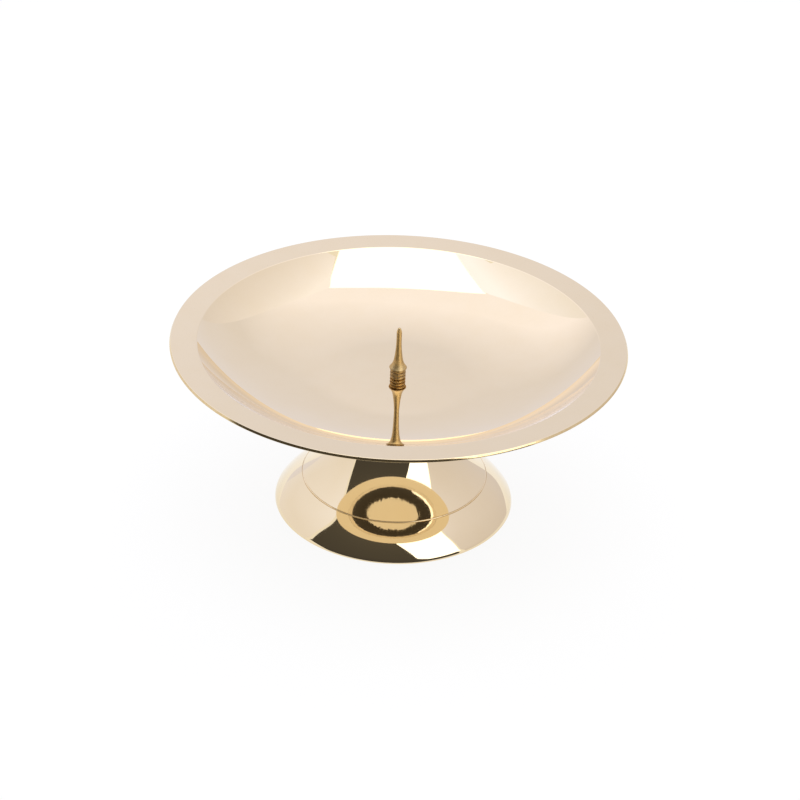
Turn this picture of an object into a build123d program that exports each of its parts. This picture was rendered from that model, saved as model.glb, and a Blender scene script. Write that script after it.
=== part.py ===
from build123d import *
import math
import os

os.makedirs("parts", exist_ok=True)

# Pricket candle stand: a spun brass drip pan on a spun, hollow trumpet foot.
# A turned pricket stands in the pan, and its shank clamps the pan to the foot.
# Millimetres, +Z up, origin on the surface it stands on, under the pan's centre.

# Stand
rim_height = 75.0

# Drip pan
pan_diameter = 180.0
pan_depth = 18.5
pan_sheet = 1.0
pan_floor_diameter = 54.0
flange_width = 10.7
flange_drop = 0.8
flange_bend_radius = 0.5
bowl_turn_radius_share = 0.56
bowl_turn_rise_share = 0.225
rim_round_share = 0.3

# Foot
foot_diameter = 97.6
foot_sheet = 1.0
neck_diameter = 32.1
neck_corner_radius = 2.5
edge_height = 1.6
edge_width = 0.7
hollow_corner_height_share = 0.552
apron_corner_radius_share = 0.913
apron_corner_height_share = 0.128
ogee_turn_share = 0.79
hollow_pull_share = 0.425
apron_pull_share = 0.62
turned_line_width = 0.7
turned_line_share = 0.96

# Pricket
spike_height = 22.2
spike_diameter = 2.1
spike_point_length = 1.8
spike_tip_diameter = 1.1
skirt_diameter = 7.0
skirt_edge = 0.25
collar_diameter = 6.3
rib_count = 3
rib_pitch = 1.45
rib_depth = 0.5
flare_top_share = 0.7
flare_waist_height_share = 0.2
flare_waist_radius_share = 0.31

# Fixing: the shank, its holes, the washer and the nut
shank_diameter = 4.0
shank_projection = 1.5
hole_clearance = 0.15
thread_clearance = 0.05
washer_diameter = 9.0
washer_thickness = 0.8
nut_across_flats = 7.0
nut_height = 3.2

# Levels and radii that follow from these sizes
pan_radius = pan_diameter / 2
pan_floor_radius = pan_floor_diameter / 2
foot_radius = foot_diameter / 2
neck_radius = neck_diameter / 2
shank_radius = shank_diameter / 2
fixing_hole_radius = shank_radius + hole_clearance
floor_level = rim_height - pan_depth
foot_top_level = floor_level - pan_sheet
washer_top_level = foot_top_level - foot_sheet
nut_top_level = washer_top_level - washer_thickness
nut_bottom_level = nut_top_level - nut_height
shank_bottom_level = nut_bottom_level - shank_projection


# Drip pan: the upper surface from the hole to the rim, given the sheet's thickness downwards
flange_inner_radius = pan_radius - flange_width
flange_inner_level = rim_height - flange_drop
flange_tilt = math.atan2(flange_drop, flange_width)
rim_corner_radius = pan_radius - pan_sheet * math.sin(flange_tilt)
bowl_turn_radius = pan_floor_radius + (flange_inner_radius - pan_floor_radius) * bowl_turn_radius_share
bowl_turn_level = floor_level + (flange_inner_level - floor_level) * bowl_turn_rise_share

with BuildPart() as drip_pan:
    with BuildSketch(Plane.XZ) as pan_section:
        with BuildLine():
            floor = Line((fixing_hole_radius, floor_level), (pan_floor_radius, floor_level))
            dish = TangentArc(floor @ 1, (bowl_turn_radius, bowl_turn_level), tangent=floor % 1)
            wall = TangentArc(dish @ 1, (flange_inner_radius, flange_inner_level), tangent=dish % 1)
            Line(wall @ 1, (rim_corner_radius, rim_height))
            offset(amount=pan_sheet, side=Side.RIGHT)
        make_face()
        fillet(pan_section.vertices().sort_by(Axis.X)[-4:-2], flange_bend_radius)
        fillet(pan_section.vertices().sort_by(Axis.X)[-2:], pan_sheet * rim_round_share)
    revolve(axis=Axis.Z)
drip_pan.part.label = "drip_pan"
export_step(drip_pan.part, "parts/drip_pan.step")


# Foot: an ogee, hollow below the neck, with a flat closed top under the pan.
# Its hollow curve and its full one meet on the straight line between their corners.
# Below them the edge is turned down to stand on, and a shallow groove is the turned line.
neck_top = Vector(neck_radius, foot_top_level)
edge_top = Vector(foot_radius - edge_width, edge_height)
hollow_corner = Vector(neck_radius, foot_top_level * hollow_corner_height_share)
apron_corner_radius = neck_radius + (edge_top.X - neck_radius) * apron_corner_radius_share
apron_corner_level = edge_height + (hollow_corner.Y - edge_height) * apron_corner_height_share
apron_corner = Vector(apron_corner_radius, apron_corner_level)
ogee_turn = hollow_corner + (apron_corner - hollow_corner) * ogee_turn_share
hollow_pull = ogee_turn + (hollow_corner - ogee_turn) * hollow_pull_share
apron_pull = ogee_turn + (apron_corner - ogee_turn) * apron_pull_share

with BuildPart() as foot:
    with BuildSketch(Plane.XZ):
        with BuildLine():
            top = Line((0, foot_top_level), neck_top)
            trumpet = Bezier(neck_top, hollow_corner, hollow_pull, ogee_turn)
            apron = Bezier(ogee_turn, apron_pull, apron_corner, edge_top)
            edge = TangentArc(edge_top, (foot_radius, 0), tangent=apron % 1)
            Polyline(edge @ 1, (0, 0), top @ 0)
        make_face()
    revolve(axis=Axis.Z)
    fillet(foot.faces().sort_by(Axis.Z)[-1].edges(), neck_corner_radius)
    offset(amount=-foot_sheet, openings=foot.faces().sort_by(Axis.Z)[0])
    with Locations((0, 0, foot_top_level)):
        Hole(fixing_hole_radius)
    with BuildSketch(Plane.XZ):
        with Locations(trumpet @ turned_line_share):
            Circle(turned_line_width / 2)
    revolve(axis=Axis.Z, mode=Mode.SUBTRACT)
foot.part.label = "foot"
export_step(foot.part, "parts/foot.step")


# Pricket: spike, skirt, ribbed collar and shank turned in one piece
collar_radius = collar_diameter / 2
skirt_radius = skirt_diameter / 2
spike_radius = spike_diameter / 2
skirt_level = floor_level + rib_count * rib_pitch
flare_level = skirt_level + skirt_edge
spike_top_level = floor_level + spike_height
flare_rise = spike_top_level - flare_level
flare_top_level = flare_level + flare_rise * flare_top_share
waist_level = flare_level + flare_rise * flare_waist_height_share
waist_radius = spike_radius + (skirt_radius - spike_radius) * flare_waist_radius_share
point_level = spike_top_level - spike_point_length
spike_tip_radius = spike_tip_diameter / 2

with BuildPart() as pricket:
    with BuildSketch(Plane.XZ):
        with BuildLine():
            FilletPolyline(
                (0, spike_top_level),
                (spike_tip_radius, spike_top_level),
                (spike_radius, point_level),
                (spike_radius, flare_top_level),
                radius=spike_tip_radius,
            )
            slim = TangentArc((spike_radius, flare_top_level), (waist_radius, waist_level), tangent=(0, -1))
            flare = TangentArc(slim @ 1, (skirt_radius, flare_level), tangent=slim % 1)
            Polyline(flare @ 1, (skirt_radius, skirt_level), (collar_radius - rib_depth, skirt_level))
            for rib in range(rib_count):
                rib_top = skirt_level - rib * rib_pitch
                ThreePointArc(
                    (collar_radius - rib_depth, rib_top),
                    (collar_radius, rib_top - rib_pitch / 2),
                    (collar_radius - rib_depth, rib_top - rib_pitch),
                )
            Polyline(
                (collar_radius - rib_depth, floor_level),
                (shank_radius, floor_level),
                (shank_radius, shank_bottom_level),
                (0, shank_bottom_level),
                (0, spike_top_level),
            )
        make_face()
    revolve(axis=Axis.Z)
pricket.part.label = "pricket"
export_step(pricket.part, "parts/pricket.step")


# Washer under the foot's top
with BuildPart() as fixing_washer:
    with BuildSketch(Plane.XY.offset(washer_top_level)):
        Circle(washer_diameter / 2)
        Circle(fixing_hole_radius, mode=Mode.SUBTRACT)
    extrude(amount=-washer_thickness)
fixing_washer.part.label = "fixing_washer"
export_step(fixing_washer.part, "parts/fixing_washer.step")


# Hexagon nut that pulls the collar, the pan, the foot's top and the washer together
with BuildPart() as fixing_nut:
    with BuildSketch(Plane.XY.offset(nut_top_level)):
        RegularPolygon(nut_across_flats / 2, side_count=6, major_radius=False)
    extrude(amount=-nut_height)
    with Locations((0, 0, nut_top_level)):
        Hole(shank_radius + thread_clearance)
fixing_nut.part.label = "fixing_nut"
export_step(fixing_nut.part, "parts/fixing_nut.step")
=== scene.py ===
import math

import bmesh
import bpy
from bpy.props import FloatProperty, FloatVectorProperty, IntProperty, PointerProperty
from bpy.types import Operator, Panel, PropertyGroup
from mathutils import Matrix, Vector


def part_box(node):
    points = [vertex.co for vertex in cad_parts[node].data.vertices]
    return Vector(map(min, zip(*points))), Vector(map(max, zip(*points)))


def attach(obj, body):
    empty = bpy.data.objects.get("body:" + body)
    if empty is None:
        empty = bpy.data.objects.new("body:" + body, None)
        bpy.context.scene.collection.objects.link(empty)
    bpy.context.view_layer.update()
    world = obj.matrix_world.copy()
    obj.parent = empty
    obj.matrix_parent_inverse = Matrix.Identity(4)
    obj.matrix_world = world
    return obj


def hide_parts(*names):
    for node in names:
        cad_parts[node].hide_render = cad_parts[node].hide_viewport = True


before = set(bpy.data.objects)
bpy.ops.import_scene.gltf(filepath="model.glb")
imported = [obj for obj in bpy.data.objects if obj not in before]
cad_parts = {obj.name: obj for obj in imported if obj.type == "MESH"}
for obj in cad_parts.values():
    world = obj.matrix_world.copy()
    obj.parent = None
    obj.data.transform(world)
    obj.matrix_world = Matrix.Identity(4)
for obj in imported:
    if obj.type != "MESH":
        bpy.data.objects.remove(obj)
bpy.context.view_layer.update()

bl_info = {
    "name": "Pricket candle stand",
    "version": (1, 0, 0),
    "blender": (4, 5, 0),
    "location": "3D View > Sidebar > Candle stand",
    "description": "Turns, polishes and stages a brass pricket candle stand round its packed frame",
    "category": "Object",
}

MM = 0.001
PAN_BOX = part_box("drip_pan")
FOOT_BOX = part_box("foot")
PRICKET_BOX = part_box("pricket")
WASHER_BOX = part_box("fixing_washer")
NUT_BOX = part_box("fixing_nut")
PHOTO_SIZE = 800
BODY = "root"

# Points closer than this are one point
SAME_PLACE = MM / 1000

# Edges that turn more than this stay crisp
SHEET_CREASE = math.radians(30)
TURNED_CREASE = math.radians(40)

# A face is steep where its normal rises less than this, and looks down where it falls more than this
STEEP = 0.7
LOOKS_DOWN = -0.1


# Sizes and colours


def linear(hex_colour):
    """An sRGB hex colour as linear red, green and blue."""
    parts = [int(hex_colour[i:i + 2], 16) / 255 for i in (1, 3, 5)]
    return tuple(c / 12.92 if c <= 0.04045 else ((c + 0.055) / 1.055) ** 2.4 for c in parts)


def length(name, description, default):
    """A length property, in metres."""
    return FloatProperty(name=name, description=description, default=default, precision=5, unit="LENGTH")


def share(name, description, default):
    """A property that is a share of something, from 0 to 1."""
    return FloatProperty(name=name, description=description, default=default, min=0, max=1, subtype="FACTOR")


def angle(name, description, degrees):
    """An angle property."""
    return FloatProperty(name=name, description=description, default=math.radians(degrees), subtype="ANGLE")


def count(name, description, default, least):
    """A property that counts steps or features."""
    return IntProperty(name=name, description=description, default=default, min=least, subtype="UNSIGNED")


def colour(name, description, hex_colour):
    """A colour property, kept linear."""
    default = linear(hex_colour)
    return FloatVectorProperty(name=name, description=description, default=default, subtype="COLOR")


class DripPanSizes(PropertyGroup):
    """Sizes of the spun drip pan"""

    rim_radius: length("Rim radius", "Outermost radius of the rim", PAN_BOX[1].x)
    underside_level: length("Underside level", "Height of the floor's underside", PAN_BOX[0].z)
    sheet: length("Sheet", "Thickness of the brass sheet", 1.0 * MM)
    depth: length("Depth", "From the rim down to the floor", 18.5 * MM)
    hole_radius: length("Hole radius", "Hole for the pricket's shank", 2.15 * MM)
    floor_radius: length("Floor radius", "Edge of the flat floor", 27.0 * MM)
    flange_width: length("Flange width", "Width of the rim's flange", 10.7 * MM)
    flange_drop: length("Flange drop", "How far the flange falls towards the bowl", 0.8 * MM)
    bend_radius: length("Bend radius", "Round of the bend between bowl and flange", 0.5 * MM)
    bend_ring_share: share("Bend ring", "How far from the bend its rings lie, as a share of its radius", 0.6)
    rim_round: length("Rim round", "Round of the rim's two edges", 0.12 * MM)
    rim_lean: length("Rim lean", "How far the rim's filed edge leans in towards its top", 0.45 * MM)
    turn_radius_share: share("Turn radius", "Where the dished floor turns up into the wall", 0.56)
    turn_rise_share: share("Turn rise", "How much of the rise lies below that turn", 0.225)
    ring: length("Ring spacing", "From ring to ring of the mesh", 0.8 * MM)
    turns: count("Steps", "Steps round the pan", 256, 16)


class FootSizes(PropertyGroup):
    """Sizes of the spun foot"""

    base_radius: length("Base radius", "Radius of the edge that it stands on", FOOT_BOX[1].x)
    base_round: length("Base round", "Round of the edge that it stands on", 0.15 * MM)
    top_level: length("Top level", "Height of its closed top", FOOT_BOX[1].z)
    sheet: length("Sheet", "Thickness of the brass sheet", 1.0 * MM)
    hole_radius: length("Hole radius", "Hole for the pricket's shank", 2.15 * MM)
    neck_radius: length("Neck radius", "Radius under the closed top", 16.04 * MM)
    neck_corner: length("Neck corner", "Round of the closed top's edge", 2.5 * MM)
    ogee_radius: length("Ogee radius", "Radius where the hollow curve turns full", 39.2 * MM)
    ogee_height: length("Ogee height", "Height where the hollow curve turns full", 10.63 * MM)
    ogee_slope: angle("Ogee slope", "Slope where the hollow curve turns full", 40.87)
    apron_slope: angle("Apron slope", "Slope where the full curve meets the turned-down edge", 53)
    edge_height: length("Edge height", "Height of the turned-down edge that it stands on", 1.6 * MM)
    edge_width: length("Edge width", "How far the turned-down edge stands out", 0.71 * MM)
    hollow_share: share("Hollow", "How soon the hollow curve leaves its straight lower end", 0.425)
    full_share: share("Fullness", "How soon the full curve leaves its straight upper end", 0.62)
    line_width: length("Line width", "Width of the turned line", 0.7 * MM)
    line_radius: length("Line radius", "Radius of the turned line", 37.65 * MM)
    line_steps: count("Line steps", "Steps across the turned line", 8, 4)
    ring: length("Ring spacing", "From ring to ring of the mesh", 0.7 * MM)
    turns: count("Steps", "Steps round the foot", 224, 16)


class PricketSizes(PropertyGroup):
    """Sizes of the turned pricket"""

    top_level: length("Top level", "Height of the spike's tip", PRICKET_BOX[1].z)
    bottom_level: length("Bottom level", "Height of the shank's end", PRICKET_BOX[0].z)
    skirt_radius: length("Skirt radius", "Widest radius, at the skirt", PRICKET_BOX[1].x)
    spike_radius: length("Spike radius", "Radius of the spike's straight part", 1.05 * MM)
    tip_radius: length("Tip radius", "Radius of the blunted tip", 0.55 * MM)
    tip_round_share: share("Tip round", "How far the tip's edge is rounded, as a share of its radius", 0.7)
    point_length: length("Point length", "Length of the tapered point", 1.8 * MM)
    skirt_edge: length("Skirt edge", "Height of the skirt's edge", 0.25 * MM)
    edge_round: length("Edge round", "Round of the skirt's edges and of the spike's shoulder", 0.07 * MM)
    collar_radius: length("Collar radius", "Radius over the ribs", 3.15 * MM)
    rib_depth: length("Rib depth", "Depth of the grooves between the ribs", 0.5 * MM)
    rib_pitch: length("Rib pitch", "From rib to rib", 1.45 * MM)
    rib_count: count("Ribs", "Ribs on the collar", 3, 1)
    flare_top_share: share("Flare top", "Where the straight spike starts to widen", 0.7)
    waist_height_share: share("Waist height", "Where the flare turns outwards", 0.2)
    waist_radius_share: share("Waist radius", "How far the flare has widened there", 0.31)
    shank_radius: length("Shank radius", "Radius over the shank's thread", 2.0 * MM)
    ring: length("Ring spacing", "From ring to ring of the mesh", 0.25 * MM)
    turns: count("Steps", "Steps round the pricket", 96, 16)


class FixingSizes(PropertyGroup):
    """Sizes of the thread, the washer and the nut"""

    thread_pitch: length("Thread pitch", "From turn to turn", 0.7 * MM)
    thread_depth: length("Thread depth", "From crest to root", 0.38 * MM)
    thread_clear: length("Thread clearance", "How far the crests lie inside the shank's radius", 0.01 * MM)
    thread_sunk_share: share("Thread sunk", "Share of its depth that the ridge reaches into the core", 0.25)
    thread_root_share: share("Thread root", "Half the width at its root, as a share of the pitch", 0.42)
    thread_crest_share: share("Thread crest", "Half the width at its crest, as a share of the pitch", 0.08)
    thread_steps: count("Thread steps", "Steps in a turn", 48, 12)
    washer_radius: length("Washer radius", "Outer radius", WASHER_BOX[1].x)
    washer_hole_radius: length("Washer hole", "Radius of the hole", 2.15 * MM)
    washer_round: length("Washer round", "Round of the punched edges", 0.12 * MM)
    nut_across_flats: length("Nut size", "Across the flats", NUT_BOX[1].y - NUT_BOX[0].y)
    nut_bore_radius: length("Nut bore", "Radius of the bore", 2.05 * MM)
    nut_chamfer: angle("Nut chamfer", "Slope of the cut corners", 30)
    nut_land_share: share("Nut land", "Radius of its flat ends, as a share of half its size", 0.97)
    nut_countersink: length("Countersink", "Depth of the bore's opened mouths", 0.35 * MM)
    nut_edge_round: length("Nut edge round", "Round of the worn edges", 0.06 * MM)
    overrun: length("Overrun", "How far the corner cutter reaches past the corners", 0.08 * MM)
    turns: count("Steps", "Steps round the washer and the nut", 96, 12)


class FinishColours(PropertyGroup):
    """Colours and pattern sizes of the metals"""

    polished_brass: colour("Polished brass", "Spun brass where it is fresh from the mop", "#EEDAB4")
    worn_brass: colour("Handled brass", "Spun brass where it has warmed with handling", "#EBD4A8")
    dull_brass: colour("Dull brass", "Inside of the foot, left as spun", "#D5B87C")
    turned_brass: colour("Turned brass", "Pricket, from yellower bar", "#C2A878")
    # Painted shade: this dark brass darkens the pricket's grooves and lower collar; inside the foot it only
    # tints random stains
    groove_shade_and_stain_brass: colour("Groove brass", "Darkened brass in the pricket's grooves", "#7A5528")
    zinc: colour("Zinc plate", "Bright zinc on the washer and the nut", "#C9CCD0")
    zinc_bloom: colour("Zinc bloom", "Zinc where it has clouded", "#AEB2B6")
    spin_mark: length("Spinning mark", "Width of a mark left by the spinning roller", 0.9 * MM)
    spin_depth: length("Spinning depth", "Depth of that mark inside the foot", 0.02 * MM)
    mopped_depth: length("Mopped depth", "Depth of that mark where it is polished away", 0.0002 * MM)
    buff_mark: length("Buffing mark", "Size of a cloudy patch left by buffing", 11.0 * MM)
    ripple: length("Ripple", "Length of the hand-worked ripple on the pan's underside", 3.5 * MM)
    ripple_height: length("Ripple height", "Height of that ripple", 0.08 * MM)
    # A lathe's feed of about 0.15 mm is too fine to show, so its rings are drawn as coarse as they need
    tool_mark: length("Tool mark", "Ring left by the lathe tool on the pricket", 0.4 * MM)
    tool_depth: length("Tool depth", "Depth of that ring", 0.008 * MM)
    # Painted shade on the pricket, below a height over the foot's top: full in the grooves and on the shank,
    # a share on the crests
    shade_top: length("Stain top", "From the foot's top up to where the pricket's stain ends", 6.0 * MM)
    shade_fade: length("Stain fade", "Height over which the stain fades out", 1.0 * MM)
    rib_crest_shade: share("Rib stain", "How far the ribs' crests are stained", 0.35)
    bloom_mark: length("Bloom mark", "Size of a cloud on the zinc", 1.2 * MM)
    bloom_depth: length("Bloom depth", "Depth of the zinc's grain", 0.01 * MM)


class StageSettings(PropertyGroup):
    """Camera, floor and studio cards"""

    elevation: angle("Camera elevation", "Above the horizon", 29.247)
    distance: length("Camera distance", "From the middle of the rim", 775.1 * MM)
    roll: angle("Camera roll", "Turn about the line of sight", 2.1)
    lens: FloatProperty(name="Lens", description="Focal length in millimetres", default=88.606, unit="CAMERA")
    aim_pixel: FloatVectorProperty(
        name="Aim",
        description="Pixel on which the middle of the rim falls",
        size=2,
        default=(399.24, 336.26),
        subtype="COORDINATES",
    )
    floor_size: length("Floor size", "Side of the pale floor", 12.0)
    floor_glow: share("Floor glow", "Share of the floor's white that no shadow takes away", 0.9)
    wall_distance: length("Wall distance", "From the stand to each side wall", 0.36)
    roof_level: length("Roof level", "Height of the soft overhead light", 1.4)
    back_distance: length("Back distance", "From the stand to the foot of the back sheet", 1.5)
    back_width: length("Back width", "Width of the back sheet", 4.0)
    screen_radius: length("Screen radius", "From the stand to the dark front screen", 0.53)
    screen_height: length("Screen height", "Height of the dark front screen", 0.8)
    screen_left: angle("Screen left", "Bearing of the screen's left side from straight in front", -76)
    screen_right: angle("Screen right", "Bearing of the screen's right side", 60)
    card_radius: length("Card radius", "From the stand to the white card inside the screen", 0.5141)
    card_low: length("Card low", "Height of the white card's lower side", 0.18)
    card_high: length("Card high", "Height of its upper side", 0.88)
    card_left: angle("Card left", "Bearing of its left side", -10)
    card_right: angle("Card right", "Bearing of its right side", 64)
    mirror_bounces: count("Mirror bounces", "How often light may run from wall to wall of the bowl", 24, 4)
    fill: share("Fill", "Even light from all round, as a share of white", 0.5)


# Modelling


def start_mesh(name, point):
    """Start a piece as one vertex: a small plane, merged at its middle and moved to the first point."""
    bpy.ops.object.select_all(action="DESELECT")
    bpy.ops.mesh.primitive_plane_add(size=MM)
    piece = bpy.context.active_object
    piece.name = name
    piece.data.name = name
    bpy.ops.object.mode_set(mode="EDIT")
    bpy.ops.mesh.select_mode(type="VERT")
    bpy.ops.mesh.select_all(action="SELECT")
    bpy.ops.mesh.merge(type="CENTER")
    bpy.ops.transform.translate(value=point)
    return piece


def trace(points):
    """Extrude the selected vertex from point to point."""
    for here, there in zip(points, points[1:]):
        bpy.ops.mesh.extrude_vertices_move(TRANSFORM_OT_translate={"value": Vector(there) - Vector(here)})


def merge_doubles():
    """Merge what lies on the same place, all over the mesh in hand."""
    bpy.ops.mesh.select_all(action="SELECT")
    bpy.ops.mesh.remove_doubles(threshold=SAME_PLACE)


def select_points(piece, test):
    """Select the vertices whose place passes the test, and nothing else."""
    bpy.ops.mesh.select_mode(type="VERT")
    bpy.ops.mesh.select_all(action="DESELECT")
    mesh = bmesh.from_edit_mesh(piece.data)
    for vertex in mesh.verts:
        vertex.select = test(vertex.co)
    mesh.select_flush_mode()
    bmesh.update_edit_mesh(piece.data)


def select_faces(piece, test):
    """Select the faces that pass the test, and nothing else."""
    bpy.ops.mesh.select_mode(type="FACE")
    bpy.ops.mesh.select_all(action="DESELECT")
    mesh = bmesh.from_edit_mesh(piece.data)
    for face in mesh.faces:
        face.select = test(face)
    bmesh.update_edit_mesh(piece.data)


def round_corners(piece, corners, reach, segments=4):
    """Round the section's corners, each from a reach before it to a reach after it."""
    spots = [Vector((x, 0, z)) for x, z in corners]
    select_points(piece, lambda co: any((co - spot).length < SAME_PLACE for spot in spots))
    bpy.ops.mesh.bevel(offset=reach, segments=segments, affect="VERTICES")


def start_section(name, section):
    """Trace a section of (radius, height) points; one that ends where it starts is closed."""
    points = [(x, 0, z) for x, z in section]
    piece = start_mesh(name, points[0])
    trace(points)
    merge_doubles()
    return piece


def turn_section(piece, steps):
    """Spin the traced section round the axis into a closed shell, faces outwards."""
    bpy.ops.mesh.select_all(action="SELECT")
    bpy.ops.mesh.spin(steps=steps, angle=math.tau, center=(0, 0, 0), axis=(0, 0, 1))
    merge_doubles()
    bpy.ops.mesh.normals_make_consistent(inside=False)
    bpy.ops.object.mode_set(mode="OBJECT")
    return piece


def combine(piece, other, operation):
    """Join, cut or intersect a piece with another one, which is used up."""
    bpy.ops.object.select_all(action="DESELECT")
    bpy.context.view_layer.objects.active = piece
    piece.select_set(True)
    modifier = piece.modifiers.new(operation.lower(), "BOOLEAN")
    modifier.operation = operation
    modifier.object = other
    modifier.solver = "EXACT"
    bpy.ops.object.modifier_apply(modifier=modifier.name)
    bpy.data.objects.remove(other)


def check_closed(piece):
    """Raise an error unless a piece has faces and every edge has just two of them."""
    mesh = bmesh.new()
    mesh.from_mesh(piece.data)
    closed = len(mesh.faces) > 0 and all(edge.is_manifold for edge in mesh.edges)
    mesh.free()
    if not closed:
        raise RuntimeError(f"{piece.name} isn't a closed shell")


def finish_piece(piece, node, slot, crease, *materials):
    """Shade a finished piece, give it its materials and let it stand for its CAD node."""
    check_closed(piece)
    bpy.ops.object.select_all(action="DESELECT")
    bpy.context.view_layer.objects.active = piece
    piece.select_set(True)
    bpy.ops.object.shade_smooth_by_angle(angle=crease)
    for material in materials:
        piece.data.materials.append(material)
    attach(piece, BODY)
    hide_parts(node)


def use_material(piece, place, test):
    """Give the faces that pass the test the material at that place on the piece's list."""
    bpy.ops.object.mode_set(mode="EDIT")
    select_faces(piece, test)
    piece.active_material_index = place
    bpy.ops.object.material_slot_assign()
    bpy.ops.object.mode_set(mode="OBJECT")


# Sections: a path is a list of (radius, height, heading), with headings turned up from straight outwards


def straight(start, end, spacing):
    """Path of a straight run, without its start."""
    x, z = end[0] - start[0], end[1] - start[1]
    steps = max(1, math.ceil(math.hypot(x, z) / spacing))
    heading = math.atan2(z, x)
    return [(start[0] + x * i / steps, start[1] + z * i / steps, heading) for i in range(1, steps + 1)]


def along_arc(start, end, place):
    """The point at a share of the arc that leaves start on its heading and ends at end."""
    x, z = end[0] - start[0], end[1] - start[1]
    turn = 2 * (math.atan2(z, x) - start[2])
    radius = math.hypot(x, z) / 2 / math.sin(turn / 2)
    heading = start[2] + turn * place
    out = radius * (math.sin(heading) - math.sin(start[2]))
    up = radius * (math.cos(start[2]) - math.cos(heading))
    return start[0] + out, start[1] + up, heading


def tangent_arc(start, end, spacing):
    """Path of the arc that leaves start on its heading and ends at end, without its start."""
    steps = max(2, math.ceil(math.dist(start[:2], end[:2]) / spacing))
    return [along_arc(start, end, i / steps) for i in range(1, steps + 1)]


def between(start, end, place):
    """The point at a share of the way from start to end."""
    return start[0] + (end[0] - start[0]) * place, start[1] + (end[1] - start[1]) * place


def bezier(start, pull_out, pull_in, end, spacing):
    """Path of a cubic curve, without its start."""
    steps = max(2, math.ceil(math.dist(start, end) / spacing))
    path = []
    for i in range(1, steps + 1):
        t = i / steps
        first = between(between(start, pull_out, t), between(pull_out, pull_in, t), t)
        second = between(between(pull_out, pull_in, t), between(pull_in, end, t), t)
        heading = math.atan2(second[1] - first[1], second[0] - first[0])
        path.append((*between(first, second, t), heading))
    return path


def beside(point, distance):
    """The point at a distance to the right of a path."""
    x, z, heading = point
    return x + distance * math.sin(heading), z - distance * math.cos(heading), heading


def places(path):
    """A path's points without their headings."""
    return [point[:2] for point in path]


# Materials


def add_node(tree, kind, inputs=None, **settings):
    """Add a node with its settings and inputs; a socket is linked, and so is the first output of a node."""
    node = tree.nodes.new(kind)
    for name, value in settings.items():
        setattr(node, name, value)
    for key, value in (inputs or {}).items():
        if isinstance(value, bpy.types.Node):
            value = value.outputs[0]
        if isinstance(value, bpy.types.NodeSocket):
            tree.links.new(value, node.inputs[key])
        else:
            node.inputs[key].default_value = value
    return node


def new_material(name):
    """An empty material and its node tree."""
    material = bpy.data.materials.new(name)
    material.use_nodes = True
    material.node_tree.nodes.clear()
    return material, material.node_tree


def axis_distance(tree):
    """Object coordinates, and the distance from the stand's axis."""
    place = add_node(tree, "ShaderNodeTexCoord").outputs["Object"]
    level = add_node(tree, "ShaderNodeVectorMath", {0: place, 1: (1, 1, 0)}, operation="MULTIPLY")
    distance = add_node(tree, "ShaderNodeVectorMath", {0: level.outputs["Vector"]}, operation="LENGTH")
    return place, distance.outputs["Value"]


def finish_metal(tree, tint, marks, smooth, rough, depth=0):
    """Finish a bare metal: its marks turn the shine from smooth to rough, and can stand out by a depth."""
    roughness = add_node(tree, "ShaderNodeMapRange", {"Value": marks, "To Min": smooth, "To Max": rough})
    inputs = {"Base Color": tint, "Metallic": 1, "Roughness": roughness}
    if depth:
        relief = add_node(tree, "ShaderNodeBump", {"Height": marks, "Strength": 1, "Distance": depth})
        inputs["Normal"] = relief
    shader = add_node(tree, "ShaderNodeBsdfPrincipled", inputs)
    add_node(tree, "ShaderNodeOutputMaterial", {"Surface": shader})


def polished_brass(name, colours, ripple_height):
    """Spun brass sheet, mirror polished on a mop and lacquered.

    The eye gets a pale gold mirror. Faint rings from the spinning roller and cloudy buffing marks soften it
    a little from place to place, and where it is handled the gold turns warmer. The clear lacquer makes it
    paler where it is seen at a slant.
    """
    material, tree = new_material(name)
    place, radius = axis_distance(tree)
    clouds = add_node(
        tree, "ShaderNodeTexNoise", {"Vector": place, "Scale": 1 / colours.buff_mark, "Detail": 3}
    )
    rings = add_node(
        tree,
        "ShaderNodeTexNoise",
        {"W": radius, "Scale": 1 / colours.spin_mark, "Detail": 2},
        noise_dimensions="1D",
    )
    warmth = add_node(tree, "ShaderNodeMapRange", {"Value": clouds, "From Min": 0.3, "From Max": 1.6})
    tint = add_node(
        tree,
        "ShaderNodeMix",
        {0: warmth, 6: (*colours.polished_brass, 1), 7: (*colours.worn_brass, 1)},
        data_type="RGBA",
    )
    gloss = add_node(tree, "ShaderNodeMath", {0: rings, 1: clouds}, operation="MULTIPLY")
    roughness = add_node(
        tree,
        "ShaderNodeMapRange",
        {"Value": gloss, "From Min": 0.1, "From Max": 0.4, "To Min": 0.02, "To Max": 0.05},
    )
    ripple = add_node(tree, "ShaderNodeTexNoise", {"Vector": place, "Scale": 1 / colours.ripple, "Detail": 1})
    wave = add_node(tree, "ShaderNodeBump", {"Height": ripple, "Strength": 1, "Distance": ripple_height})
    marks = add_node(
        tree,
        "ShaderNodeBump",
        {"Height": rings, "Strength": 1, "Distance": colours.mopped_depth, "Normal": wave},
    )
    shader = add_node(
        tree,
        "ShaderNodeBsdfPrincipled",
        {
            "Base Color": tint.outputs[2],
            "Metallic": 1,
            "Roughness": roughness,
            "Normal": marks,
            "Coat Weight": 1,
            "Coat Roughness": 0.03,
            "Coat IOR": 1.5,
            "Coat Normal": wave,
        },
    )
    add_node(tree, "ShaderNodeOutputMaterial", {"Surface": shader})
    return material


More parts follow.
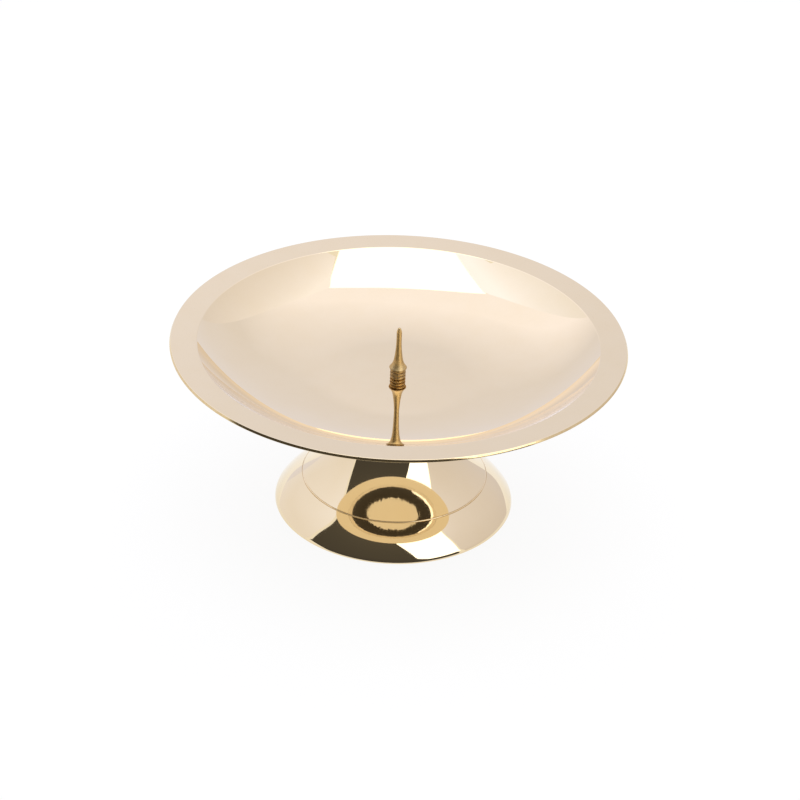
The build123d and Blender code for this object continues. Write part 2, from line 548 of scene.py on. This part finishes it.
def filed_brass(colours):
    """The rim's cut edge, filed smooth and then buffed.

    The eye gets a fine line round the pan, a little duller and browner than the sheet, that is pale where it
    faces light and dark where it faces the dark screen.
    """
    material, tree = new_material("brass_edge_filed")
    place = add_node(tree, "ShaderNodeTexCoord").outputs["Object"]
    strokes = add_node(
        tree, "ShaderNodeTexNoise", {"Vector": place, "Scale": 1 / colours.spin_mark, "Detail": 3}
    )
    tint = add_node(
        tree,
        "ShaderNodeMix",
        {0: strokes, 6: (*colours.polished_brass, 1), 7: (*colours.dull_brass, 1)},
        data_type="RGBA",
    )
    finish_metal(tree, tint.outputs[2], strokes, smooth=0.08, rough=0.2)
    return material


def dull_brass(colours):
    """Spun brass left as it came off the lathe, inside the foot.

    The eye gets a satin, browner gold with close rings where the roller passed.
    """
    material, tree = new_material("spun_brass_left_dull")
    place, radius = axis_distance(tree)
    rings = add_node(
        tree,
        "ShaderNodeTexNoise",
        {"W": radius, "Scale": 1 / colours.spin_mark, "Detail": 4},
        noise_dimensions="1D",
    )
    stains = add_node(
        tree, "ShaderNodeTexNoise", {"Vector": place, "Scale": 1 / colours.buff_mark, "Detail": 4}
    )
    tint = add_node(
        tree,
        "ShaderNodeMix",
        {0: stains, 6: (*colours.dull_brass, 1), 7: (*colours.groove_shade_and_stain_brass, 1)},
        data_type="RGBA",
    )
    finish_metal(tree, tint.outputs[2], rings, smooth=0.25, rough=0.5, depth=colours.spin_depth)
    return material


def turned_brass(colours, pricket):
    """Brass bar turned on a lathe, with the tool's marks left on it.

    The eye gets a deeper yellow than the sheet, a satin shine with fine rings, and painted shade in brown low
    on the collar, darkest in the grooves.
    """
    material, tree = new_material("turned_brass_bar")
    place, radius = axis_distance(tree)
    height = add_node(tree, "ShaderNodeSeparateXYZ", {0: place}).outputs["Z"]
    rings = add_node(
        tree,
        "ShaderNodeTexNoise",
        {"W": height, "Scale": 1 / colours.tool_mark, "Detail": 2},
        noise_dimensions="1D",
    )
    # Painted shade: full dark brass in the grooves and on the shank, a share of it on the crests and the
    # skirt
    depth = add_node(
        tree,
        "ShaderNodeMapRange",
        {
            "Value": radius,
            "From Min": pricket.collar_radius,
            "From Max": pricket.collar_radius - pricket.rib_depth,
            "To Min": colours.rib_crest_shade,
        },
    )
    # The painted shade reaches only up to a height over the foot's top, just above the pan
    shade_top = FOOT_BOX[1].z + colours.shade_top
    collar = add_node(
        tree,
        "ShaderNodeMapRange",
        {"Value": height, "From Min": shade_top, "From Max": shade_top - colours.shade_fade},
    )
    painted_shade = add_node(tree, "ShaderNodeMath", {0: depth, 1: collar}, operation="MULTIPLY")
    tint = add_node(
        tree,
        "ShaderNodeMix",
        {0: painted_shade, 6: (*colours.turned_brass, 1), 7: (*colours.groove_shade_and_stain_brass, 1)},
        data_type="RGBA",
    )
    finish_metal(tree, tint.outputs[2], rings, smooth=0.36, rough=0.5, depth=colours.tool_depth)
    return material


def zinc_plated_steel(colours):
    """Bright zinc on steel, as on a boxed washer or nut.

    The eye gets a cool silver with a fine, uneven bloom.
    """
    material, tree = new_material("zinc_plated_steel")
    place = add_node(tree, "ShaderNodeTexCoord").outputs["Object"]
    bloom = add_node(
        tree, "ShaderNodeTexNoise", {"Vector": place, "Scale": 1 / colours.bloom_mark, "Detail": 4}
    )
    tint = add_node(
        tree,
        "ShaderNodeMix",
        {0: bloom, 6: (*colours.zinc, 1), 7: (*colours.zinc_bloom, 1)},
        data_type="RGBA",
    )
    finish_metal(tree, tint.outputs[2], bloom, smooth=0.2, rough=0.45, depth=colours.bloom_depth)
    return material


# Pieces


class CANDLE_STAND_OT_drip_pan(Operator):
    """Spin the drip pan with its dished floor, flange and filed rim"""

    bl_idname = "candle_stand.drip_pan"
    bl_label = "Drip pan"

    def execute(self, context):
        sizes = context.scene.candle_stand_pan
        colours = context.scene.candle_stand_finish
        floor_level = sizes.underside_level + sizes.sheet
        rim_level = floor_level + sizes.depth
        bend = (sizes.rim_radius - sizes.flange_width, rim_level - sizes.flange_drop)
        turn = (
            sizes.floor_radius + (bend[0] - sizes.floor_radius) * sizes.turn_radius_share,
            floor_level + (bend[1] - floor_level) * sizes.turn_rise_share,
        )
        bowl = [(sizes.hole_radius, floor_level, 0.0)]
        bowl += straight(bowl[-1], (sizes.floor_radius, floor_level), sizes.ring)
        bowl += tangent_arc(bowl[-1], turn, sizes.ring)
        turned = bowl[-1]

        # A ring close to the bend on either side keeps the shine even up to it
        close = sizes.bend_radius * sizes.bend_ring_share
        wall = tangent_arc(turned, bend, sizes.ring)
        wall.insert(-1, along_arc(turned, bend, 1 - close / math.dist(turned[:2], bend)))
        bowl += wall
        tilt = math.atan2(sizes.flange_drop, sizes.flange_width)
        square_edge = (sizes.rim_radius - sizes.sheet * math.sin(tilt), rim_level)
        flange = [(*between(bend, square_edge, close / sizes.flange_width), tilt)]
        flange += straight(bend, square_edge, sizes.ring)

        # The sheet's underside, with a mitre where the bowl meets the flange
        half_turn = (bowl[-1][2] - tilt) / 2
        mitre = beside((*bend, tilt + half_turn), sizes.sheet / math.cos(half_turn))
        under_bowl = [beside(point, sizes.sheet) for point in bowl]
        under_bowl = [point for point in under_bowl if point[0] < mitre[0] - sizes.bend_radius]
        under_flange = [beside(point, sizes.sheet) for point in flange]
        under_flange = [point for point in under_flange if point[0] > mitre[0] + sizes.bend_radius]

        # The rim's edge, filed so that it leans in towards its top, with a ring close beside it
        lean = sizes.rim_lean / sizes.flange_width
        rim = between(bend, square_edge, 1 - lean)
        beside_rim = between(bend, square_edge, 1 - lean - 2 * sizes.rim_round / sizes.flange_width)
        flange[-1:] = [(*beside_rim, tilt), (*rim, tilt)]
        section = places(bowl + flange + under_flange[::-1] + [mitre] + under_bowl[::-1] + bowl[:1])

        piece = start_section("spun_drip_pan", section)
        round_corners(piece, [bend, mitre[:2]], sizes.bend_radius * math.tan(half_turn))
        round_corners(piece, [rim, under_flange[-1][:2]], sizes.rim_round)
        turn_section(piece, sizes.turns)
        finish_piece(
            piece,
            "drip_pan",
            "spun_brass",
            SHEET_CREASE,
            polished_brass("spun_brass_mirror_polished", colours, ripple_height=0),
            polished_brass("spun_brass_hand_buffed_under", colours, colours.ripple_height),
            filed_brass(colours),
        )
        use_material(piece, 1, lambda face: face.normal.z < 0)
        edge = sizes.rim_radius - sizes.sheet / 2
        use_material(
            piece, 2, lambda face: abs(face.normal.z) < STEEP and face.calc_center_median().xy.length > edge
        )
        return {"FINISHED"}


class CANDLE_STAND_OT_foot(Operator):
    """Spin the hollow foot with its neck, ogee and turned line"""

    bl_idname = "candle_stand.foot"
    bl_label = "Foot"

    def execute(self, context):
        sizes = context.scene.candle_stand_foot
        colours = context.scene.candle_stand_finish
        neck = (sizes.neck_radius, sizes.top_level)
        ogee = (sizes.ogee_radius, sizes.ogee_height)
        edge = (sizes.base_radius - sizes.edge_width, sizes.edge_height)
        base = (sizes.base_radius, 0.0)

        # Two curves that meet on one straight line, the tangent where hollow turns to full
        rise = math.tan(sizes.ogee_slope)
        hollow_corner = (neck[0], ogee[1] + (ogee[0] - neck[0]) * rise)
        fall = math.tan(sizes.apron_slope)
        reach = (edge[1] - ogee[1] + (edge[0] - ogee[0]) * fall) / (fall - rise)
        full_corner = (ogee[0] + reach, ogee[1] - reach * rise)
        hollow_pull = between(ogee, hollow_corner, sizes.hollow_share)
        full_pull = between(ogee, full_corner, sizes.full_share)
        top = [(sizes.hole_radius, sizes.top_level, 0.0)]
        side = bezier(neck, hollow_corner, hollow_pull, ogee, sizes.ring)
        side += bezier(ogee, full_pull, full_corner, edge, sizes.ring)
        side += tangent_arc(side[-1], base, sizes.ring / 3)

        # A half-round groove where the line is turned, with nothing close beside it
        half = sizes.line_width / 2
        line = min(side, key=lambda point: abs(point[0] - sizes.line_radius))
        headings = [line[2] + math.pi * (i / sizes.line_steps - 0.5) for i in range(sizes.line_steps + 1)]
        groove = [beside((*line[:2], heading), half) for heading in headings]
        before = [point for point in side if point[0] < groove[0][0] - half / 4]
        after = [point for point in side if point[0] > groove[-1][0] + half / 4]

        # The inner wall, ended level with the surface that the foot stands on
        inner_end = (sizes.base_radius - sizes.sheet / math.sin(-side[-1][2]), 0.0)
        inner = [beside(point, sizes.sheet) for point in top + side]
        inner = [point for point in inner if point[1] > sizes.edge_height / 4]
        section = places(top + [(*neck, 0.0)] + before + groove + after)
        section += [inner_end] + places(inner[::-1]) + places(top[:1])

        piece = start_section("spun_foot", section)
        round_corners(piece, [neck], sizes.neck_corner, segments=8)
        round_corners(piece, [base, inner_end], sizes.base_round, segments=3)
        turn_section(piece, sizes.turns)
        finish_piece(
            piece,
            "foot",
            "spun_brass",
            SHEET_CREASE,
            bpy.data.materials["spun_brass_mirror_polished"],
            dull_brass(colours),
        )
        use_material(
            piece,
            1,
            lambda face: face.normal.z < LOOKS_DOWN and face.calc_center_median().z > sizes.base_round,
        )
        return {"FINISHED"}


class CANDLE_STAND_OT_pricket(Operator):
    """Turn the pricket: spike, flared skirt, ribbed collar and threaded shank"""

    bl_idname = "candle_stand.pricket"
    bl_label = "Pricket"

    def execute(self, context):
        sizes = context.scene.candle_stand_pricket
        fixing = context.scene.candle_stand_fixing
        pan = context.scene.candle_stand_pan
        colours = context.scene.candle_stand_finish
        down = -math.pi / 2
        floor_level = pan.underside_level + pan.sheet
        root = sizes.collar_radius - sizes.rib_depth
        core = sizes.shank_radius - fixing.thread_depth
        skirt_level = floor_level + sizes.rib_count * sizes.rib_pitch
        flare_level = skirt_level + sizes.skirt_edge
        rise = sizes.top_level - flare_level
        tip = (sizes.tip_radius, sizes.top_level)
        shoulder = (sizes.spike_radius, sizes.top_level - sizes.point_length)
        slim = (sizes.spike_radius, flare_level + rise * sizes.flare_top_share, down)
        waist = (
            sizes.spike_radius + (sizes.skirt_radius - sizes.spike_radius) * sizes.waist_radius_share,
            flare_level + rise * sizes.waist_height_share,
        )
        skirt_top = (sizes.skirt_radius, flare_level)
        skirt_under = (sizes.skirt_radius, skirt_level)

        path = [(0, sizes.top_level, 0), (*tip, 0), (*shoulder, down)]
        path += straight(path[-1], slim, sizes.ring)
        path += tangent_arc(slim, waist, sizes.ring)
        path += tangent_arc(path[-1], skirt_top, sizes.ring)
        path += [(*skirt_under, down), (root, skirt_level, down)]
        rib_angle = 2 * math.atan(2 * sizes.rib_depth / sizes.rib_pitch)
        for rib in range(sizes.rib_count):
            top = (root, skirt_level - rib * sizes.rib_pitch, down + rib_angle)
            path += tangent_arc(top, (root, top[1] - sizes.rib_pitch), sizes.ring / 2)

        # Plain under the collar, and cut down to the thread's core from the washer to the end
        thread_top = WASHER_BOX[0].z
        path += [(sizes.shank_radius, floor_level, down), (sizes.shank_radius, thread_top, down)]
        path += [(core, thread_top, down), (core, sizes.bottom_level, down), (0, sizes.bottom_level, down)]
        piece = start_section("turned_pricket", places(path))
        round_corners(piece, [shoulder, skirt_top, skirt_under], sizes.edge_round, segments=3)
        round_corners(piece, [tip], sizes.tip_radius * sizes.tip_round_share, segments=6)
        turn_section(piece, sizes.turns)
        combine(piece, self.thread_ridge(sizes, fixing, core, thread_top), "UNION")
        finish_piece(piece, "pricket", "turned_brass", TURNED_CREASE, turned_brass(colours, sizes))
        return {"FINISHED"}

    def thread_ridge(self, sizes, fixing, core, thread_top):
        """The thread: a ridge with sloped flanks, screwed down the core and closed at both ends."""
        start = thread_top - fixing.thread_pitch
        sunk = core - fixing.thread_depth * fixing.thread_sunk_share
        crest = sizes.shank_radius - fixing.thread_clear
        half_root = fixing.thread_pitch * fixing.thread_root_share
        half_crest = fixing.thread_pitch * fixing.thread_crest_share
        profile = [
            (sunk, start - half_root),
            (crest, start - half_crest),
            (crest, start + half_crest),
            (sunk, start + half_root),
        ]
        ridge = start_section("thread_ridge", profile + profile[:1])
        bpy.ops.object.mode_set(mode="OBJECT")
        screw = ridge.modifiers.new("thread", "SCREW")
        screw.axis = "Z"
        screw.screw_offset = -fixing.thread_pitch
        screw.iterations = int((start - sizes.bottom_level - half_root) / fixing.thread_pitch)
        screw.steps = fixing.thread_steps
        screw.render_steps = fixing.thread_steps
        bpy.ops.object.modifier_apply(modifier=screw.name)
        bpy.ops.object.mode_set(mode="EDIT")
        merge_doubles()
        bpy.ops.mesh.fill_holes(sides=len(profile))
        bpy.ops.mesh.normals_make_consistent(inside=False)
        bpy.ops.object.mode_set(mode="OBJECT")
        return ridge


class CANDLE_STAND_OT_fixings(Operator):
    """Make the washer and the hexagon nut that clamp the stand together"""

    bl_idname = "candle_stand.fixings"
    bl_label = "Washer and nut"

    def execute(self, context):
        sizes = context.scene.candle_stand_fixing
        plate = zinc_plated_steel(context.scene.candle_stand_finish)
        self.make_washer(sizes, plate)
        self.make_nut(sizes, plate)
        return {"FINISHED"}

    def make_washer(self, sizes, plate):
        """A punched ring with rounded edges."""
        low, high = WASHER_BOX[0].z, WASHER_BOX[1].z
        hole, edge = sizes.washer_hole_radius, sizes.washer_radius
        corners = [(hole, high), (edge, high), (edge, low), (hole, low)]
        washer = start_section("plain_washer", corners + corners[:1])
        round_corners(washer, corners, sizes.washer_round)
        turn_section(washer, sizes.turns)
        finish_piece(washer, "fixing_washer", "zinc_steel", TURNED_CREASE, plate)

    def make_nut(self, sizes, plate):
        """A six-sided bar, its corners cut back at both ends, with a bore."""
        low, high = NUT_BOX[0].z, NUT_BOX[1].z
        flat = sizes.nut_across_flats / 2
        corner = flat / math.cos(math.pi / 6)
        bpy.ops.object.select_all(action="DESELECT")
        bpy.ops.mesh.primitive_cylinder_add(
            vertices=6,
            radius=corner,
            depth=high - low,
            location=(0, 0, (high + low) / 2),
            rotation=(0, 0, math.pi / 2),
        )
        nut = bpy.context.active_object
        nut.name = "hexagon_nut"
        nut.data.name = "hexagon_nut"
        bpy.ops.object.transform_apply(location=True, rotation=True, scale=True)
        worn = nut.modifiers.new("worn_edges", "BEVEL")
        worn.width = sizes.nut_edge_round
        worn.segments = 2
        bpy.ops.object.modifier_apply(modifier=worn.name)

        # A barrel with coned ends takes the corners off
        land = flat * sizes.nut_land_share
        out = corner + sizes.overrun
        drop = (out - land) * math.tan(sizes.nut_chamfer)
        barrel = [(0, high), (land, high), (out, high - drop), (out, low + drop), (land, low), (0, low)]
        combine(nut, turn_section(start_section("corner_cutter", barrel), sizes.turns), "INTERSECT")

        # The bore, with its mouths opened to lead the shank in; the reamer reaches past both ends
        bore, sink = sizes.nut_bore_radius, sizes.nut_countersink
        clear = sink
        mouth = bore + sink + clear
        reamer = [(0, high + clear), (mouth, high + clear), (bore, high - sink), (bore, low + sink)]
        reamer += [(mouth, low - clear), (0, low - clear)]
        combine(nut, turn_section(start_section("reamer", reamer), sizes.turns), "DIFFERENCE")
        finish_piece(nut, "fixing_nut", "zinc_steel", SHEET_CREASE, plate)


# Stage: outlines of the studio cards in metres, the roof's as (right, back) and the walls' as (back, up)

ROOF_FRONT = -0.87
ROOF_BACK = 0.41
ROOF_OUTLINE = ((-0.58, ROOF_FRONT), (0.73, ROOF_FRONT), (0.4, ROOF_BACK), (-0.5, ROOF_BACK))
LEFT_OUTLINE = (
    (-0.08, 0), (0.41, 0), (0.42, 0.27), (0.38, 0.48), (0.35, 0.75), (0.3, 1.07), (-0.62, 0.95), (-0.08, 0.65)
)
RIGHT_OUTLINE = (
    (-0.17, 0), (0.61, 0), (0.59, 0.26), (0.56, 0.45), (0.53, 0.86), (0.48, 1.08), (0.37, 1.3), (-0.17, 0.88)
)

# Planes, each by a point and the side that is kept, that cut a corner off the curved cards
SCREEN_CUT = ((-0.434, 0, 0), (1, 0, 0.67))
CARD_CUT = ((0, 0, 0.01), (1, 0.8716, 0.58))


def lit(hex_colour, level):
    """A linear colour lit to a level, where white at level 1 shows as white."""
    return tuple(c * level for c in linear(hex_colour))


def seen_directly(tree):
    """One for rays from the camera, off a mirror or through glass, and zero for soft light."""
    rays = add_node(tree, "ShaderNodeLightPath").outputs
    seen = rays["Is Camera Ray"]
    for ray in ("Is Glossy Ray", "Is Transmission Ray"):
        seen = add_node(tree, "ShaderNodeMath", {0: seen, 1: rays[ray]}, operation="MAXIMUM")
    return seen


def floor_paper(glow):
    """White paper under even light: a plain pale floor that keeps a faint shadow of the stand."""
    material, tree = new_material("white_paper_floor")
    paper = add_node(tree, "ShaderNodeBsdfDiffuse", {"Color": (1 - glow, 1 - glow, 1 - glow, 1)})
    strength = add_node(tree, "ShaderNodeMath", {0: seen_directly(tree), 1: glow}, operation="MULTIPLY")
    even = add_node(tree, "ShaderNodeEmission", {"Strength": strength})
    both = add_node(tree, "ShaderNodeAddShader", {0: paper, 1: even})
    add_node(tree, "ShaderNodeOutputMaterial", {"Surface": both})
    return material


def card_cloth(name, low, high, start, stop, lean=0):
    """Plain studio cloth lit evenly from behind, shading from a low colour to a high one between two levels.

    The levels can lean, rising or falling to the right.
    """
    material, tree = new_material(name)
    place = add_node(tree, "ShaderNodeTexCoord").outputs["Object"]
    level = add_node(tree, "ShaderNodeVectorMath", {0: place, 1: (lean, 0, 1)}, operation="DOT_PRODUCT")
    rise = add_node(
        tree, "ShaderNodeMapRange", {"Value": level.outputs["Value"], "From Min": start, "From Max": stop}
    )
    tint = add_node(tree, "ShaderNodeMix", {0: rise, 6: (*low, 1), 7: (*high, 1)}, data_type="RGBA")
    glow = add_node(tree, "ShaderNodeEmission", {"Color": tint.outputs[2]})
    add_node(tree, "ShaderNodeOutputMaterial", {"Surface": glow})
    return material


def set_card(card, material, lights_floor):
    """A card shows in the brass but not to the camera."""
    bpy.ops.object.mode_set(mode="OBJECT")
    card.data.materials.append(material)
    card.visible_camera = False
    card.visible_shadow = False
    card.visible_diffuse = lights_floor


def flat_card(name, corners, material):
    """A flat card from corner to corner, which also lights the floor."""
    card = start_mesh(name, corners[0])
    trace(corners)
    bpy.ops.mesh.select_all(action="SELECT")
    bpy.ops.mesh.edge_face_add()
    set_card(card, material, lights_floor=True)


def curved_card(name, radius, low, high, start, stop, cut, material):
    """A card bent round the stand, between two bearings from straight in front, positive to the right."""
    first = (radius * math.sin(start), -radius * math.cos(start), low)
    card = start_mesh(name, first)
    trace([first, (*first[:2], high)])
    bpy.ops.mesh.select_all(action="SELECT")
    bpy.ops.mesh.spin(steps=48, angle=start - stop, center=(0, 0, 0), axis=(0, 0, 1))
    bpy.ops.mesh.select_all(action="SELECT")
    bpy.ops.mesh.bisect(plane_co=cut[0], plane_no=cut[1], clear_inner=True)
    set_card(card, material, lights_floor=False)


class CANDLE_STAND_OT_stage(Operator):
    """Set the floor, the studio cards, the even light and the camera"""

    bl_idname = "candle_stand.stage"
    bl_label = "Stage"

    def execute(self, context):
        stage = context.scene.candle_stand_stage
        self.lay_floor(stage)
        self.set_cards(stage)
        self.light_room(context.scene, stage)
        self.aim_camera(context.scene, stage)
        return {"FINISHED"}

    def lay_floor(self, stage):
        """The floor: a wide sheet under the stand."""
        bpy.ops.object.select_all(action="DESELECT")
        bpy.ops.mesh.primitive_plane_add(size=stage.floor_size)
        floor = bpy.context.active_object
        floor.name = "floor"
        floor.data.materials.append(floor_paper(stage.floor_glow))

    def set_cards(self, stage):
        """A soft roof light, walls of cloth, a dark screen in front and a white card beside it."""
        wall, roof = stage.wall_distance, stage.roof_level
        white = lit("#FFFFFF", 2.2)
        light = card_cloth("soft_light_cloth", white, white, start=0, stop=roof)
        flat_card("roof_light", [(x, y, roof) for x, y in ROOF_OUTLINE], light)
        flat_card(
            "left_wall",
            [(-wall, y, z) for y, z in LEFT_OUTLINE],
            card_cloth("left_wall_cloth", lit("#F8F7FF", 1), lit("#DEE5FF", 1.7), start=0.12, stop=0.85),
        )
        flat_card(
            "right_wall",
            [(wall, y, z) for y, z in RIGHT_OUTLINE],
            card_cloth("right_wall_cloth", lit("#FFFAFF", 0.75), lit("#E9ECFF", 1.45), start=0, stop=1.08),
        )
        side, back = stage.back_width / 2, stage.back_distance
        flat_card(
            "back_wall",
            [(-side, back, 0), (side, back, 0), (side, ROOF_BACK, roof), (-side, ROOF_BACK, roof)],
            card_cloth(
                "back_wall_cloth", lit("#F1F1FF", 0.98), lit("#E9EBFF", 1.42), start=0.6, stop=1.05, lean=-0.3
            ),
        )
        curved_card(
            "front_screen",
            stage.screen_radius,
            0,
            stage.screen_height,
            stage.screen_left,
            stage.screen_right,
            SCREEN_CUT,
            card_cloth(
                "dark_screen_cloth", lit("#45423F", 1), lit("#59554D", 1), start=0, stop=stage.screen_height
            ),
        )
        curved_card(
            "front_card",
            stage.card_radius,
            stage.card_low,
            stage.card_high,
            stage.card_left,
            stage.card_right,
            CARD_CUT,
            light,
        )

    def light_room(self, scene, stage):
        """An even white room, which lights the floor softly."""
        world = bpy.data.worlds.new("even_room")
        scene.world = world
        world.use_nodes = True
        tree = world.node_tree
        tree.nodes.clear()
        strength = add_node(
            tree, "ShaderNodeMapRange", {"Value": seen_directly(tree), "To Min": stage.fill, "To Max": 1}
        )
        room = add_node(tree, "ShaderNodeBackground", {"Color": (1, 1, 1, 1), "Strength": strength})
        add_node(tree, "ShaderNodeOutputWorld", {"Surface": room})
        scene.view_settings.view_transform = "Standard"
        # Light runs round a polished bowl from wall to wall many times before it leaves
        scene.cycles.max_bounces = stage.mirror_bounces
        scene.cycles.glossy_bounces = stage.mirror_bounces

    def aim_camera(self, scene, stage):
        """The camera at the photograph's angle, turned so that the rim's middle falls on its pixel."""
        pan = scene.candle_stand_pan
        middle = Vector((0, 0, pan.underside_level + pan.sheet + pan.depth))
        back = Vector((0, -math.cos(stage.elevation), math.sin(stage.elevation)))
        bpy.ops.object.select_all(action="DESELECT")
        bpy.ops.object.camera_add()
        camera = bpy.context.active_object
        camera.data.lens = stage.lens
        focal_pixels = stage.lens / camera.data.sensor_width * PHOTO_SIZE
        across = (stage.aim_pixel[0] - PHOTO_SIZE / 2) / focal_pixels
        downward = (stage.aim_pixel[1] - PHOTO_SIZE / 2) / focal_pixels
        level = (-back).to_track_quat("-Z", "Y").to_matrix().to_4x4()
        roll = Matrix.Rotation(stage.roll, 4, "Z")
        tilt = Matrix.Rotation(math.atan2(downward, math.hypot(1, across)), 4, "X")
        turn = Matrix.Rotation(math.atan(across), 4, "Y")
        camera.matrix_world = Matrix.Translation(middle + back * stage.distance) @ level @ roll @ tilt @ turn
        scene.camera = camera


class CANDLE_STAND_PT_panel(Panel):
    """Lists the stand's pieces, sizes, finish and stage"""

    bl_label = "Pricket candle stand"
    bl_idname = "CANDLE_STAND_PT_panel"
    bl_space_type = "VIEW_3D"
    bl_region_type = "UI"
    bl_category = "Candle stand"

    def draw(self, context):
        for operator, settings in PIECES:
            box = self.layout.box()
            box.operator(operator.bl_idname)
            self.list_settings(box, getattr(context.scene, settings))
        box = self.layout.box()
        box.label(text="Finish")
        self.list_settings(box, context.scene.candle_stand_finish)

    def list_settings(self, box, group):
        """One line for each setting of a group."""
        for name in group.__annotations__:
            box.prop(group, name)


PIECES = (
    (CANDLE_STAND_OT_drip_pan, "candle_stand_pan"),
    (CANDLE_STAND_OT_foot, "candle_stand_foot"),
    (CANDLE_STAND_OT_pricket, "candle_stand_pricket"),
    (CANDLE_STAND_OT_fixings, "candle_stand_fixing"),
    (CANDLE_STAND_OT_stage, "candle_stand_stage"),
)
SETTINGS = {
    "candle_stand_pan": DripPanSizes,
    "candle_stand_foot": FootSizes,
    "candle_stand_pricket": PricketSizes,
    "candle_stand_fixing": FixingSizes,
    "candle_stand_finish": FinishColours,
    "candle_stand_stage": StageSettings,
}
CLASSES = (*SETTINGS.values(), *(operator for operator, _ in PIECES), CANDLE_STAND_PT_panel)


def register():
    """Register the classes and hang the settings on the scene."""
    for cls in CLASSES:
        bpy.utils.register_class(cls)
    for name, group in SETTINGS.items():
        setattr(bpy.types.Scene, name, PointerProperty(type=group))


def unregister():
    """Take the settings off the scene and unregister the classes."""
    for name in SETTINGS:
        delattr(bpy.types.Scene, name)
    for cls in reversed(CLASSES):
        bpy.utils.unregister_class(cls)


def main():
    """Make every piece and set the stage."""
    register()
    bpy.ops.candle_stand.drip_pan()
    bpy.ops.candle_stand.foot()
    bpy.ops.candle_stand.pricket()
    bpy.ops.candle_stand.fixings()
    bpy.ops.candle_stand.stage()


if __name__ == "__main__":
    main()
